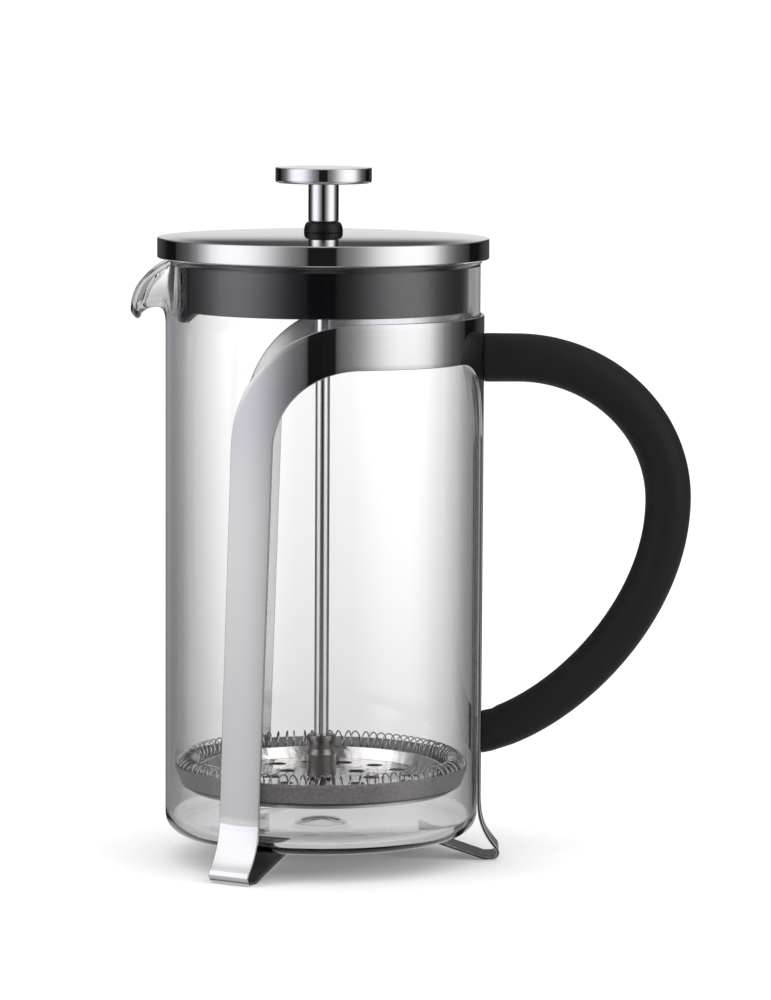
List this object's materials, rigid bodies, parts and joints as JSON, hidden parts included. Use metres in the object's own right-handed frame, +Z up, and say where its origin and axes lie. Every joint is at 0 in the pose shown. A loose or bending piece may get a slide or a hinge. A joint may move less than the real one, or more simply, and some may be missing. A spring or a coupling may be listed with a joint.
{
  "type": "french press",
  "caption": "Plunger coffee press: glass beaker with a pouring spout in a polished steel strip stand, black loop handle, steel lid and spring-edged filter on a rod.",
  "frame": {"origin": "centre of the overall footprint, on the table that the three feet stand on", "axes": "+Z up along the beaker, +X towards the handle, -X towards the spout, +Y to the back"},
  "size_m": [0.1732, 0.1036, 0.2144],
  "materials": {
    "polished_steel": "mirror polished stainless steel",
    "satin_steel": "plain stainless steel, lightly brushed",
    "woven_steel": "fine woven steel gauze",
    "clear_glass": "clear heat-proof glass",
    "gloss_black": "glossy moulded plastic",
    "soft_black": "matte soft-touch moulding",
    "black_rubber": "moulded rubber",
    "brass": "knurled threaded insert"
  },
  "bodies": {
    "frame": {"frame_stand": "polished_steel", "handle_grip": "soft_black", "handle_screw_upper": "satin_steel", "handle_insert_upper": "brass", "handle_screw_lower": "satin_steel", "handle_insert_lower": "brass"},
    "beaker": {"glass_beaker": "clear_glass"},
    "lid_carrier": {"lid_bush": "satin_steel", "bush_retainer": "satin_steel"},
    "lid": {"lid_cover": "polished_steel", "lid_collar": "gloss_black"},
    "plunger": {"plunger_rod": "polished_steel", "rod_hub": "satin_steel", "spring_plate": "satin_steel", "spring_coil": "satin_steel", "filter_mesh": "woven_steel", "cross_plate": "satin_steel", "hub_nut": "satin_steel", "bumper_ring": "black_rubber", "knob_stem": "polished_steel", "knob_disc": "polished_steel"}
  },
  "joints": [
    {"name": "beaker_lift", "type": "slide", "parent": "frame", "child": "beaker", "axis": [0, 0, 1], "range_m": [0, 0.165]},
    {"name": "lid_lift", "type": "slide", "parent": "beaker", "child": "lid_carrier", "axis": [0, 0, 1], "range_m": [0, 0.17]},
    {"name": "lid_turn", "type": "hinge", "parent": "lid_carrier", "child": "lid", "pos_m": [-0.02737, 0, 0.19], "axis": [0, 0, 1], "continuous": true},
    {"name": "plunger_slide", "type": "slide", "parent": "lid_carrier", "child": "plunger", "axis": [0, 0, 1], "range_m": [0, 0.133]}
  ]
}
